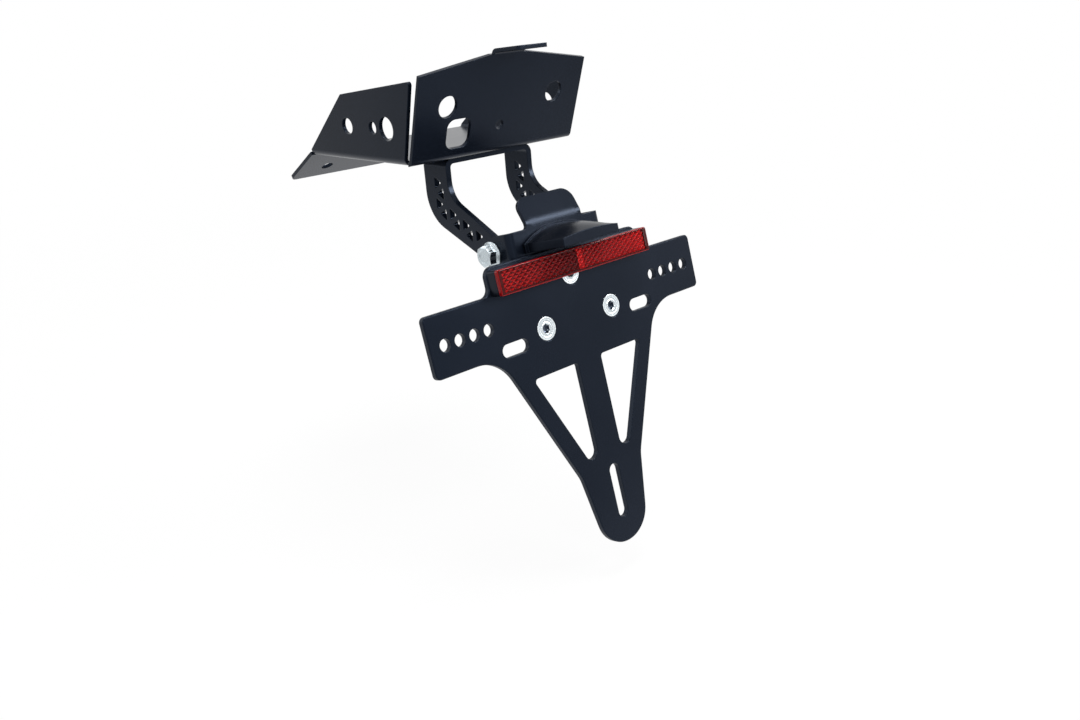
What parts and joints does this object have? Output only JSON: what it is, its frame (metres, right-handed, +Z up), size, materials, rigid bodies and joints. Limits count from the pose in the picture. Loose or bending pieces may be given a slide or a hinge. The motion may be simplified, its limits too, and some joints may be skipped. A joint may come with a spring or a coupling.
{
  "type": "tail tidy",
  "caption": "Motorbike tail tidy: folded sheet bracket with indicator panels and a drilled yoke that carries a tilting number-plate holder with lamp and red reflector.",
  "frame": {"origin": "midway between the two bolt holes of the front flange, on the face that meets the bike", "axes": "+X to the bike's right, +Y forward, +Z up"},
  "size_m": [0.182, 0.2233, 0.2434],
  "materials": {
    "black_sheet": "satin black powder coat",
    "black_plastic": "moulded black",
    "red_lens": "prismatic red",
    "clear_lens": "clear",
    "circuit_board": "white solder mask",
    "zinc_steel": "bright zinc plate"
  },
  "bodies": {
    "bracket": {"upper_bracket": "black_sheet", "arm_yoke": "black_sheet"},
    "plate_carrier": {"tilt_bracket": "black_sheet", "plate_holder": "black_sheet", "lamp_housing": "black_plastic", "lamp_lens": "clear_lens", "lamp_board": "circuit_board", "reflector_base": "black_plastic", "reflector_lens": "red_lens", "pivot_bolt_left": "zinc_steel", "pivot_bolt_right": "zinc_steel", "pivot_nut_left": "zinc_steel", "pivot_nut_right": "zinc_steel", "plate_screw_left": "zinc_steel", "plate_screw_right": "zinc_steel", "plate_screw_top": "zinc_steel", "plate_nut_left": "zinc_steel", "plate_nut_right": "zinc_steel", "plate_nut_top": "zinc_steel", "lamp_nut_left": "zinc_steel", "lamp_nut_right": "zinc_steel"}
  },
  "joints": [
    {"name": "plate_tilt", "type": "hinge", "parent": "bracket", "child": "plate_carrier", "pos_m": [0, -0.14397, -0.02244], "axis": [1, 0, 0], "range_deg": [-25, 17]}
  ]
}
